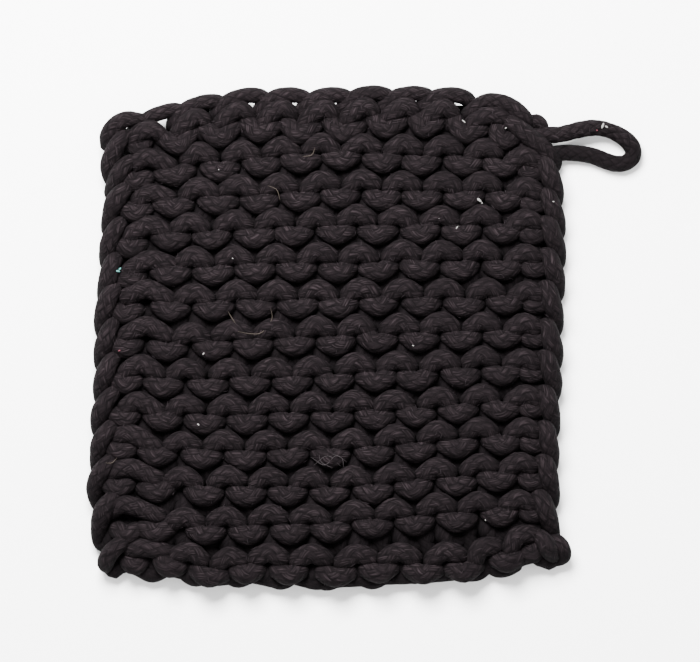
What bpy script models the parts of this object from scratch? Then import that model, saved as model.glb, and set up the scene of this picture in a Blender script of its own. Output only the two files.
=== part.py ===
"""A trivet knitted in garter stitch from one thick braided cotton cord, with a loop to hang it by.

The mat lies flat. Its face shows ridges: in each one a row of stitch heads, which bulge upwards, stands
over a row of sinkers, which bulge downwards and sit half a stitch aside. Along the top runs the bound-off
chain, and up both sides the turned strands of the selvedges. The underside rests on the flattened
stitches of the ridges that lie between those of the face.

The origin is on the underside, on the flattened middle stitch nearest the mat's centre. +Z is up through
the mat, +Y runs to its bound-off edge, and +X to the side with the loop. Lengths are in millimetres, and
MM turns them into metres where they reach a mesh.
"""

import math
from typing import NamedTuple

import bmesh
import bpy
import numpy as np

MM = 0.001
SEED = 8

THICKNESS = 17.0
TOUCHING_GAP = 0.3

FULL_STITCHES = 10
FIRST_RIM = -1.5
LAST_RIM = FULL_STITCHES + 0.5
SAMPLES_A_STITCH = 4
SELVEDGE_HALF = 5.2

HEAD_RISE = 3.5
HEAD_HALF = 1.9
STRAND_DIP = 1.3
VALLEY_WAVE = 1.3
VALLEY_DEPTH = 6.0
SEAM_DEPTH = 2.6
CROWN_DROP = 0.9
FLANK_DROP = 0.3
INNER_FLANK_SHARE = 0.8
GAP_DEPTH = 3.6
CHAIN_CROWN_SHARE = 0.76
CHAIN_HOLLOW_SHARE = 0.52
CHAIN_CROWN_DEPTH = 1.7
CHAIN_LINK_DIP = 0.6
CHAIN_HOLLOW_DEPTH = 3.4
CHAIN_LINK_COLUMN = 0.25
FIRST_HEAD_SHARES = (0.40, 0.18)
SCALLOP = 1.4
RIM_HEIGHT = 8.0
RIM_NOTCH = 1.3
UNEVEN_HEIGHT = 0.45
UNEVEN_PLACE = 0.35

SOLE_FLAT_SHARES = (0.17, 0.83)
SOLE_END_SHARES = (0.25, 0.42, 0.85)
SOLE_SPAN = 0.36
SOLE_VALLEY = 4.2
SOLE_GAP = 2.0
SOLE_RIM_HEIGHT = 2.6
SOLE_RIM_INSET = 2.8

BIND_OFF_GAP_PLACE = (-70.3, 95.0)
BIND_OFF_GAP_SIZE = (4.8, 2.4)
BIND_OFF_GAP_TURN = math.radians(18)
BIND_OFF_GAP_SIDES = 8

LOOP_RADIUS = 3.4
LOOP_SIDES = 12
LOOP_STEP = 1.7

COTTON_COLOUR = (0.020, 0.016, 0.018, 1.0)
COTTON_ROUGHNESS = 0.95


class Ridge(NamedTuple):
    """Where one ridge lies: its middle line at five places across the mat, and its ends and end stitches."""

    left_rim_y: float
    left_y: float
    middle_y: float
    right_y: float
    right_rim_y: float
    left_x: float
    first_x: float
    last_x: float
    right_x: float


class Place(NamedTuple):
    """A point of the outline, seen from above."""

    x: float
    y: float


class Bend(NamedTuple):
    """A point that the middle of the loop's cord passes through."""

    x: float
    y: float
    z: float


RIDGE_STATIONS_X = (-89.5, -67.5, 4.0, 75.0, 95.0)

RIDGES = (
    Ridge(91.5, 91.5, 98.5, 95.5, 82.0, -95.5, -76.0, 80.5, 94.5),
    Ridge(77.5, 77.0, 83.0, 79.5, 71.0, -98.0, -77.0, 82.5, 98.0),
    Ridge(62.5, 63.0, 66.5, 65.5, 59.0, -97.0, -76.0, 82.5, 99.0),
    Ridge(47.5, 48.5, 51.0, 51.5, 46.0, -98.0, -76.0, 81.0, 98.5),
    Ridge(33.0, 33.5, 35.5, 36.5, 31.5, -99.5, -76.0, 81.0, 100.0),
    Ridge(20.5, 18.5, 20.0, 21.0, 16.5, -100.5, -78.0, 81.5, 99.0),
    Ridge(5.0, 1.0, 4.5, 6.5, 2.0, -100.5, -78.0, 81.0, 98.5),
    Ridge(-10.5, -13.0, -12.0, -8.5, -13.0, -100.5, -81.0, 81.0, 98.0),
    Ridge(-25.5, -28.0, -28.5, -23.5, -28.0, -101.5, -81.0, 81.5, 97.5),
    Ridge(-40.0, -42.5, -44.0, -38.0, -42.5, -102.5, -83.5, 81.0, 97.0),
    Ridge(-54.5, -57.5, -60.0, -53.0, -57.5, -103.5, -84.5, 79.5, 96.5),
    Ridge(-71.0, -75.0, -75.0, -68.5, -72.5, -102.0, -84.0, 80.5, 98.0),
    Ridge(-87.5, -89.0, -92.5, -86.0, -88.0, -101.5, -85.5, 81.5, 100.5),
)

TOP_OUTLINE = (
    Place(-96.5, 96.5),
    Place(-93.0, 100.5),
    Place(-76.0, 100.5),
    Place(-63.5, 103.5),
    Place(-44.0, 108.5),
    Place(-25.0, 109.0),
    Place(32.5, 110.0),
    Place(58.0, 109.0),
    Place(70.5, 106.5),
    Place(83.5, 101.0),
    Place(89.0, 95.0),
    Place(95.0, 86.5),
)

BOTTOM_OUTLINE = (
    Place(-101.5, -92.0),
    Place(-98.0, -97.0),
    Place(-89.0, -95.0),
    Place(-76.0, -96.0),
    Place(-50.5, -101.5),
    Place(-12.5, -103.5),
    Place(26.0, -101.5),
    Place(60.0, -100.0),
    Place(70.5, -95.0),
    Place(96.0, -94.0),
    Place(100.5, -90.5),
)

LOOP_ROUTE = (
    Bend(84.0, 90.0, 8.0),
    Bend(91.0, 90.8, 9.2),
    Bend(97.8, 91.0, 9.4),
    Bend(106.5, 93.2, 8.2),
    Bend(113.0, 94.1, 7.2),
    Bend(119.4, 92.9, 6.2),
    Bend(125.4, 89.9, 5.2),
    Bend(129.0, 85.9, 4.4),
    Bend(129.1, 81.3, 3.9),
    Bend(126.1, 78.1, 3.6),
    Bend(122.2, 77.3, 3.6),
    Bend(118.0, 78.4, 3.6),
    Bend(112.0, 80.9, 3.6),
    Bend(105.0, 82.1, 3.8),
    Bend(98.5, 82.4, 4.6),
    Bend(87.5, 81.0, 8.2),
)


def across(places, x):
    """The y of an outline at x, on straight lines between its points."""
    return np.interp(x, [place.x for place in places], [place.y for place in places])


def ridge_y(ridge, x):
    """The y of a ridge's middle line at x."""
    return np.interp(x, RIDGE_STATIONS_X, ridge[: len(RIDGE_STATIONS_X)])


def column_x(ridge, columns):
    """The x of stitch columns. Column 0 is the first full stitch, and the rims lie past the edge stitches."""
    stations = (FIRST_RIM, -1, 0, FULL_STITCHES - 1, FULL_STITCHES, LAST_RIM)
    places = (
        ridge.left_x,
        ridge.left_x + SELVEDGE_HALF,
        ridge.first_x,
        ridge.last_x,
        ridge.right_x - SELVEDGE_HALF,
        ridge.right_x,
    )
    return np.interp(columns, stations, places)


def between(upper, lower):
    """The line midway between two ridges, with the rims drawn in where the two meet."""
    mean = Ridge(*(0.5 * (a + b) for a, b in zip(upper, lower)))
    return mean._replace(left_x=mean.left_x + RIM_NOTCH, right_x=mean.right_x - RIM_NOTCH)


def fullness(columns, centre):
    """How full a stitch is at each column: 1 over its middle, and 0 half a stitch away, as on an ellipse."""
    off = 2 * np.abs((columns - centre + 0.5) % 1.0 - 0.5)
    return np.sqrt(1 - off**2)


def selvedge(columns):
    """1 on the edge stitches, whose one strand crosses the whole ridge, and 0 on the others."""
    return (np.abs(columns - 0.5 * (FULL_STITCHES - 1)) > 0.5 * FULL_STITCHES + 0.1).astype(float)


def line_of(ridge, columns, rise, height):
    """One line of the face as points: the ridge's own line moved by rise, at the heights given."""
    x = column_x(ridge, columns)
    points = np.stack([x, ridge_y(ridge, x) + rise, height + 0 * x], axis=1)
    points[[0, -1], 2] = RIM_HEIGHT
    return points


def stitch_lines(ridge, columns, uneven):
    """A ridge's five lines: both flanks of the heads, the seam, and both flanks of the sinkers."""
    head = fullness(columns, 0.0)
    sinker = fullness(columns, 0.5)
    edge = selvedge(columns)
    head_depth = CROWN_DROP + GAP_DEPTH * (1 - head) + uneven[0]
    sinker_depth = CROWN_DROP + GAP_DEPTH * (1 - sinker) * (1 - edge) + uneven[1]
    head_y = HEAD_RISE + uneven[2]
    sinker_y = -HEAD_RISE + uneven[3]
    seam_depth = SEAM_DEPTH - (SEAM_DEPTH - CROWN_DROP) * edge
    rises_and_depths = (
        (head_y + HEAD_HALF * head - STRAND_DIP * (1 - head), head_depth + FLANK_DROP),
        (head_y - STRAND_DIP * (2 - head), INNER_FLANK_SHARE * head_depth),
        (0.0, seam_depth),
        (sinker_y + STRAND_DIP + INNER_FLANK_SHARE * (1 - sinker), INNER_FLANK_SHARE * sinker_depth),
        (sinker_y - HEAD_HALF * sinker + STRAND_DIP * (1 - sinker), sinker_depth + FLANK_DROP),
    )
    return [line_of(ridge, columns, rise, THICKNESS - depth) for rise, depth in rises_and_depths]


def scallop(columns, centre):
    """How far an outline swells over each stitch: outwards over its middle and inwards beside it."""
    swell = SCALLOP * (fullness(columns, centre) - 0.5)
    return np.where(selvedge(columns) > 0, 0.0, swell)


def bound_off_lines(columns, uneven):
    """The top edge: its outline, the chain's crown, the hollow under it, and the first ridge's five lines."""
    first = RIDGES[0]
    x = column_x(first, columns)
    foot = ridge_y(first, x)
    reach = across(TOP_OUTLINE, x) - foot
    chain_depth = CHAIN_CROWN_DEPTH + CHAIN_LINK_DIP * (1 - fullness(columns, CHAIN_LINK_COLUMN))
    lines = [
        line_of(first, columns, reach + scallop(columns, CHAIN_LINK_COLUMN), RIM_HEIGHT),
        line_of(first, columns, CHAIN_CROWN_SHARE * reach, THICKNESS - chain_depth),
        line_of(first, columns, CHAIN_HOLLOW_SHARE * reach, THICKNESS - CHAIN_HOLLOW_DEPTH),
    ]
    stitches = stitch_lines(first, columns, uneven)
    for line, share in zip(stitches, FIRST_HEAD_SHARES):
        line[:, 1] = foot + share * reach
    return lines + stitches


def face_lines(columns, rng):
    """All the face's lines of points, from the bound-off edge down to the cast-on edge."""
    scales = np.array([UNEVEN_HEIGHT, UNEVEN_HEIGHT, UNEVEN_PLACE, UNEVEN_PLACE])[:, None]
    stitches = np.round(columns).astype(int) + 2
    draws = rng.uniform(-1, 1, (len(RIDGES), 4, FULL_STITCHES + 5))
    lines = bound_off_lines(columns, scales * draws[0][:, stitches])
    for upper, lower, draw in zip(RIDGES, RIDGES[1:], draws[1:]):
        wave = VALLEY_WAVE * np.cos(2 * math.pi * columns)
        edge = selvedge(columns)
        depth = VALLEY_DEPTH - (VALLEY_DEPTH - GAP_DEPTH) * edge
        lines.append(line_of(between(upper, lower), columns, wave * (1 - edge), THICKNESS - depth))
        lines += stitch_lines(lower, columns, scales * draw[:, stitches])
    last = RIDGES[-1]
    x = column_x(last, columns)
    drop = across(BOTTOM_OUTLINE, x) - ridge_y(last, x) - scallop(columns, 0.5)
    lines.append(line_of(last, columns, drop, RIM_HEIGHT))
    return np.array(lines)


def sole_columns():
    """The underside's columns: each flattened stitch has two, with a hollow between it and the next."""
    middles = np.arange(-1, FULL_STITCHES) + 0.5
    flats = [middle + side * SOLE_SPAN for middle in middles for side in (-1, 1)]
    hollows = np.arange(0, FULL_STITCHES)
    return np.sort(np.concatenate([[FIRST_RIM], flats, hollows, [LAST_RIM]]))


def sole_line(ridge, columns, y, flat):
    """One line of the underside: flat on the surface under each stitch, or raised in a valley."""
    x = column_x(ridge, columns)
    hollow = np.isclose(columns % 1.0, 0.0)
    height = np.where(hollow, SOLE_GAP, 0.0) if flat else np.full(len(columns), SOLE_VALLEY)
    points = np.stack([x, y(x), height], axis=1)
    points[[0, -1], 2] = SOLE_RIM_HEIGHT
    points[0, 0] += SOLE_RIM_INSET
    points[-1, 0] -= SOLE_RIM_INSET
    return points


def sole_lines(columns):
    """The underside: a flat band midway between each two ridges, and a valley under each ridge."""

    def line_between(ridge, upper_y, lower_y, share, flat):
        return sole_line(ridge, columns, lambda x: upper_y(x) + share * (lower_y(x) - upper_y(x)), flat)

    ends = (lambda x: across(TOP_OUTLINE, x), lambda x: across(BOTTOM_OUTLINE, x))
    middles = [lambda x, ridge=ridge: ridge_y(ridge, x) for ridge in RIDGES]
    lines = [line_between(RIDGES[0], ends[0], middles[0], share, True) for share in SOLE_END_SHARES]
    for upper, lower, upper_y, lower_y in zip(RIDGES, RIDGES[1:], middles, middles[1:]):
        lines.append(line_between(upper, upper_y, lower_y, 0.0, False))
        for share in SOLE_FLAT_SHARES:
            lines.append(line_between(between(upper, lower), upper_y, lower_y, share, True))
    lines.append(line_between(RIDGES[-1], middles[-1], ends[1], 0.0, False))
    for share in reversed(SOLE_END_SHARES):
        lines.append(line_between(RIDGES[-1], middles[-1], ends[1], 1 - share, True))
    for line in (lines[0], lines[-1]):
        line[:, 2] = SOLE_RIM_HEIGHT
    return np.array(lines)


def grid_faces(bm, points):
    """Fills a grid of points with quads, and returns its vertices in the same grid."""
    verts = [[bm.verts.new(point * MM) for point in line] for line in points]
    for upper, lower in zip(verts, verts[1:]):
        for left in range(len(upper) - 1):
            bm.faces.new((upper[left], upper[left + 1], lower[left + 1], lower[left]))
    return verts


def sides_of(verts):
    """The four sides of a grid of vertices, each with the axis that it runs along."""
    left = [line[0] for line in verts]
    right = [line[-1] for line in verts]
    return ((verts[0], 0), (verts[-1], 0), (left, 1), (right, 1))


def zip_side(bm, one, other, axis):
    """Joins two rows of vertices with triangles, always taking the nearer next vertex."""
    spans = [abs(row[-1].co[axis] - row[0].co[axis]) for row in (one, other)]

    def along(row, index, span):
        return abs(row[index].co[axis] - row[0].co[axis]) / span

    i, j = 0, 0
    while i < len(one) - 1 or j < len(other) - 1:
        ahead = j == len(other) - 1 or (
            i < len(one) - 1 and along(one, i + 1, spans[0]) <= along(other, j + 1, spans[1])
        )
        tip = one[i + 1] if ahead else other[j + 1]
        bm.faces.new((one[i], other[j], tip))
        i, j = (i + 1, j) if ahead else (i, j + 1)


def new_object(name, mesh, material):
    """Puts a mesh into the scene under a name, with its material."""
    mesh.materials.append(material)
    obj = bpy.data.objects.new(name, mesh)
    bpy.context.scene.collection.objects.link(obj)
    return obj


def face_outwards(bm):
    """Turns the faces of a closed bmesh outwards, whatever way they were made."""
    bmesh.ops.recalc_face_normals(bm, faces=bm.faces)
    if bm.calc_volume(signed=True) < 0:
        bmesh.ops.reverse_faces(bm, faces=bm.faces)
    bm.normal_update()


def mesh_from(name, bm):
    """Turns a closed bmesh into a smooth mesh whose faces point outwards."""
    face_outwards(bm)
    mesh = bpy.data.meshes.new(name)
    bm.to_mesh(mesh)
    bm.free()
    mesh.shade_smooth()
    return mesh


def mat_mesh(name, swell=0.0):
    """The mat as one closed mesh. A swell moves every point outwards along its normal."""
    rng = np.random.default_rng(SEED)
    steps = int((LAST_RIM - FIRST_RIM) * SAMPLES_A_STITCH)
    bm = bmesh.new()
    face = grid_faces(bm, face_lines(np.linspace(FIRST_RIM, LAST_RIM, steps + 1), rng))
    sole = grid_faces(bm, sole_lines(sole_columns()))
    for (upper, axis), (lower, _) in zip(sides_of(face), sides_of(sole)):
        zip_side(bm, upper, lower, axis)
    face_outwards(bm)
    moves = [vert.normal * swell * MM for vert in bm.verts]
    for vert, move in zip(bm.verts, moves):
        vert.co += move
    return mesh_from(name, bm)


def hide_cutter(obj):
    """Keeps a cutter out of the model."""
    obj.hide_render = True
    obj.display_type = "WIRE"


def cut(obj, cutter, name):
    """Takes the cutter's shape out of the object.

    Both meshes are closed, so the manifold solver is used: it leaves a closed mesh with no slivers.
    """
    modifier = obj.modifiers.new(name, "BOOLEAN")
    modifier.operation = "DIFFERENCE"
    modifier.solver = "MANIFOLD"
    modifier.object = cutter


def build_mat(material):
    """The mat, with the one gap in its bound-off edge that is wide enough to see through."""
    mat = new_object("mat", mat_mesh("mat"), material)
    bm = bmesh.new()
    bmesh.ops.create_cone(
        bm,
        cap_ends=True,
        segments=BIND_OFF_GAP_SIDES,
        radius1=0.5 * MM,
        radius2=0.5 * MM,
        depth=4 * THICKNESS * MM,
    )
    cutter = new_object("bind_off_gap", mesh_from("bind_off_gap", bm), material)
    cutter.scale = (BIND_OFF_GAP_SIZE[0], BIND_OFF_GAP_SIZE[1], 1)
    cutter.rotation_euler[2] = BIND_OFF_GAP_TURN
    cutter.location = (BIND_OFF_GAP_PLACE[0] * MM, BIND_OFF_GAP_PLACE[1] * MM, 0)
    hide_cutter(cutter)
    cut(mat, cutter, "gap")
    return mat


def smooth_route(bends, step):
    """Points a step apart on the Catmull-Rom curve through the bends."""
    knots = np.array(bends)
    padded = np.vstack([2 * knots[0] - knots[1], knots, 2 * knots[-1] - knots[-2]])
    share = np.linspace(0, 1, 24, endpoint=False)[:, None]
    pieces = []
    for before, start, end, after in zip(padded, padded[1:], padded[2:], padded[3:]):
        pieces.append(
            start
            + 0.5 * share * (end - before)
            + share**2 * (before - 2.5 * start + 2 * end - 0.5 * after)
            + share**3 * (1.5 * start - 0.5 * before - 1.5 * end + 0.5 * after)
        )
    fine = np.vstack(pieces + [knots[-1:]])
    travelled = np.concatenate([[0], np.cumsum(np.linalg.norm(np.diff(fine, axis=0), axis=1))])
    stops = np.linspace(0, travelled[-1], round(travelled[-1] / step) + 1)
    return np.stack([np.interp(stops, travelled, fine[:, k]) for k in range(3)], axis=1)


def tube_mesh(name, route, radius, sides):
    """A round tube along a route, with flat caps. The route never runs straight up, so +Z sets its turn."""
    ahead = np.gradient(route, axis=0)
    ahead /= np.linalg.norm(ahead, axis=1, keepdims=True)
    aside = np.cross(ahead, (0, 0, 1))
    aside /= np.linalg.norm(aside, axis=1, keepdims=True)
    above = np.cross(aside, ahead)
    turns = 2 * math.pi * np.arange(sides) / sides
    bm = bmesh.new()
    rings = []
    for middle, right, up in zip(route, aside, above):
        ring = middle + radius * (np.outer(np.cos(turns), right) + np.outer(np.sin(turns), up))
        rings.append([bm.verts.new(point * MM) for point in ring])
    for one, other in zip(rings, rings[1:]):
        for k in range(sides):
            after = (k + 1) % sides
            bm.faces.new((one[k], one[after], other[after], other[k]))
    bm.faces.new(rings[0])
    bm.faces.new(rings[-1])
    return mesh_from(name, bm)


def build_hanging_loop(material):
    """The loop: the same cord, out of the corner and back, cut off where it goes in among the stitches."""
    route = smooth_route(LOOP_ROUTE, LOOP_STEP)
    loop = new_object("hanging_loop", tube_mesh("hanging_loop", route, LOOP_RADIUS, LOOP_SIDES), material)
    clearance = new_object("mat_clearance", mat_mesh("mat_clearance", TOUCHING_GAP), material)
    hide_cutter(clearance)
    cut(loop, clearance, "clear of the mat")
    return loop


def cotton():
    """Black cotton cord: dull all over."""
    material = bpy.data.materials.new("cotton_cord")
    material.use_nodes = True
    shader = material.node_tree.nodes["Principled BSDF"]
    shader.inputs["Base Color"].default_value = COTTON_COLOUR
    shader.inputs["Roughness"].default_value = COTTON_ROUGHNESS
    shader.inputs["Metallic"].default_value = 0.0
    return material


def main():
    """Builds the trivet's two solids under one empty."""
    for obj in list(bpy.data.objects):
        bpy.data.objects.remove(obj)
    trivet = bpy.data.objects.new("trivet", None)
    bpy.context.scene.collection.objects.link(trivet)
    material = cotton()
    for piece in (build_mat(material), build_hanging_loop(material)):
        piece.parent = trivet


main()
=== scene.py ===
"""A knitted trivet: one thick braided cotton cord in garter stitch, with a hanging loop at a corner.

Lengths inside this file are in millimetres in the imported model's frame, and become metres only
when a mesh is made. X runs along the ridges, Y up to the bound-off edge and Z up from the table.
"""

import logging
import math
from collections.abc import Iterator, Sequence
from dataclasses import dataclass, replace
from enum import Enum

import bpy
import numpy as np
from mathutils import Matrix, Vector


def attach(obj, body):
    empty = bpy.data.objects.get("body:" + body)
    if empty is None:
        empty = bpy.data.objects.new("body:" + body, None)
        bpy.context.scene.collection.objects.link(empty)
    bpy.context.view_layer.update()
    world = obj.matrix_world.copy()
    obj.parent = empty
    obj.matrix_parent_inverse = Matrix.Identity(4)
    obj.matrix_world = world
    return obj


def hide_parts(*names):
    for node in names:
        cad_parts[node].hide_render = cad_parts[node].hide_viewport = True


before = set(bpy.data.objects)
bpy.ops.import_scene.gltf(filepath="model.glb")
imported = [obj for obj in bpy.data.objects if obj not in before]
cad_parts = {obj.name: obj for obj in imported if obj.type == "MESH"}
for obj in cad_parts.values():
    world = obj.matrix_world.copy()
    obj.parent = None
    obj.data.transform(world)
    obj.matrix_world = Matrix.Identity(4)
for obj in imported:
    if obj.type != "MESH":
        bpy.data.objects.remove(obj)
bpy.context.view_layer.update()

log = logging.getLogger("knitted_trivet")

MM = 0.001
FULL_TURN = 2.0 * math.pi
BODY = "root"
SPLINE_SHARES = 24
SHORTEST = 1e-12

Place = tuple[float, float]
Point = tuple[float, float, float]
Colour = tuple[float, float, float]


class Face(Enum):
    """Which side of the mat a ridge stands on."""

    FRONT = "front"
    BACK = "back"


class Bow(Enum):
    """The two bows of cord that make a ridge."""

    HEAD = "head"
    SINKER = "sinker"


# the cord


def smooth_line(points: np.ndarray, spacing: float) -> np.ndarray:
    """Runs a smooth line through points and spreads new points evenly along it.

    Between two points the line is the Catmull-Rom cubic of those two and their neighbours, the
    end points being repeated outwards. The new points lie at equal shares of the line's length.

    Args:
        points: The points to pass, shape (n, 4): a place, and how thick the cord is there,
            as a share of its own radius.
        spacing: The wanted distance between the new points.

    Returns:
        The new points, shape (m, 4).
    """
    first = 2.0 * points[:1] - points[1:2]
    last = 2.0 * points[-1:] - points[-2:-1]
    padded = np.concatenate([first, points, last])
    share = np.linspace(0.0, 1.0, SPLINE_SHARES, endpoint=False)[None, :, None]
    p0, p1, p2, p3 = (padded[k : len(padded) - 3 + k, None, :] for k in range(4))
    curve = 0.5 * (
        2.0 * p1
        + (p2 - p0) * share
        + (2.0 * p0 - 5.0 * p1 + 4.0 * p2 - p3) * share**2
        + (3.0 * p1 - p0 - 3.0 * p2 + p3) * share**3
    )
    dense = np.concatenate([curve.reshape(-1, points.shape[1]), points[-1:]])
    steps = np.linalg.norm(np.diff(dense[:, :3], axis=0), axis=1)
    gone = np.concatenate([[0.0], np.cumsum(steps)])
    count = max(4, int(round(gone[-1] / spacing)) + 1)
    at = np.linspace(0.0, gone[-1], count)
    return np.stack([np.interp(at, gone, column) for column in dense.T], axis=1)


def line_length(line: np.ndarray) -> float:
    """The length of a line of points."""
    return float(np.linalg.norm(np.diff(line[:, :3], axis=0), axis=1).sum())


def carried_frames(line: np.ndarray) -> tuple[np.ndarray, np.ndarray]:
    """Two crosswise directions at each point of a line, which turn as little as they can.

    The first direction is carried from point to point by two reflections: one in the plane
    halfway between the points, and one that brings the reflected tangent onto the next one.

    Args:
        line: The points, shape (n, 3).

    Returns:
        The two directions at each point, each of shape (n, 3).
    """
    tangent = np.gradient(line, axis=0)
    tangent /= np.linalg.norm(tangent, axis=1)[:, None]
    seed = np.eye(3)[int(np.argmin(np.abs(tangent[0])))]
    side = np.empty_like(line)
    side[0] = np.cross(tangent[0], seed) / np.linalg.norm(np.cross(tangent[0], seed))
    for k in range(len(line) - 1):
        step = line[k + 1] - line[k]
        halved = 2.0 / max(step @ step, SHORTEST)
        carried = side[k] - halved * (step @ side[k]) * step
        mirrored = tangent[k] - halved * (step @ tangent[k]) * step
        turn = tangent[k + 1] - mirrored
        side[k + 1] = carried - 2.0 / max(turn @ turn, SHORTEST) * (turn @ carried) * turn
    return side, np.cross(tangent, side)


def rings_round(line: np.ndarray, sides: int) -> np.ndarray:
    """The directions from a line's points to the points of a ring across it.

    Args:
        line: The points, shape (n, 3).
        sides: The points round a ring.

    Returns:
        The directions, shape (n, sides, 3).
    """
    side, up = carried_frames(line)
    turn = FULL_TURN * np.arange(sides) / sides
    return side[:, None] * np.cos(turn)[None, :, None] + up[:, None] * np.sin(turn)[None, :, None]


def wall_faces(rings: int, sides: int) -> np.ndarray:
    """The four corners of each face between the rings of a tube, ring after ring."""
    row, col = np.meshgrid(np.arange(rings - 1), np.arange(sides), indexing="ij")
    here, there = row * sides + col, row * sides + (col + 1) % sides
    return np.stack([here, there, there + sides, here + sides], axis=-1).reshape(-1, 4)


def add_object(name: str, data: bpy.types.ID) -> bpy.types.Object:
    """Puts a mesh, a lamp or a camera in the scene."""
    thing = bpy.data.objects.new(name, data)
    bpy.context.scene.collection.objects.link(thing)
    return thing


def add_piece(name: str, verts: np.ndarray, faces: Sequence[tuple[int, ...]]) -> bpy.types.Object:
    """A piece made from places in millimetres and the faces between them."""
    mesh = bpy.data.meshes.new(name)
    mesh.from_pydata((verts * MM).tolist(), [], faces)
    return add_object(name, mesh)


def eased(share: np.ndarray) -> np.ndarray:
    """A share held between 0 and 1, with a soft start and end."""
    held = np.clip(share, 0.0, 1.0)
    return held * held * (3.0 - 2.0 * held)


@dataclass(frozen=True)
class PaintedShade:
    """Painted shade: how open a place on the cord is, which darkens the colour in the clefts between
    the strands, where they get little light.

    The middle of the mat's thickness is painted as sheltered, less so along a rim at its sides, and
    not at all past the sides above lit_y, where the loop's upper limb lies, so the loop's lower limb
    is painted darker as if in its shade.
    """

    middle_z: float = 8.4
    dark_half: float = 0.8
    fade: float = 3.4
    rim: float = 0.8
    rim_fade: float = 3.4
    side_share: float = 0.34
    lit_y: float = 85.0

    TOP = (
        (-100.0, 95.0), (-84.0, 101.0), (-60.0, 104.0), (-36.0, 109.0), (40.0, 109.0),
        (60.0, 106.0), (78.0, 103.0), (100.0, 80.0),
    )

    def openness(self, places: np.ndarray) -> np.ndarray:
        """Painted shade, from 0 deep between the strands to 1 on the open faces and sides.

        Args:
            places: The places, shape (n, 3).

        Returns:
            One number for each place.
        """
        x, y, z = places.T
        rows = np.array([(row.middle_y, row.left_x, row.right_x) for row in RIDGE_ROWS])[::-1]
        left, right = (np.interp(y, rows[:, 0], rows[:, k]) for k in (1, 2))
        top, bottom = (np.interp(x, *np.transpose(line)) for line in (self.TOP, CastOnEdge.OUTLINE))
        inset = np.minimum.reduce([x - left, right - x, top - y, y - bottom])
        side = 1.0 - eased((inset - self.rim) / self.rim_fade)
        # painted light: past the sides only the loop's upper limb, above lit_y, is left unshaded; its
        # lower limb stays painted darker
        beyond = eased(-inset / self.fade - 1.0) * eased((y - self.lit_y) / self.fade)
        side = self.side_share * side + (1.0 - self.side_share) * beyond
        face = eased((np.abs(z - self.middle_z) - self.dark_half) / self.fade)
        return np.maximum(side, face)


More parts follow.
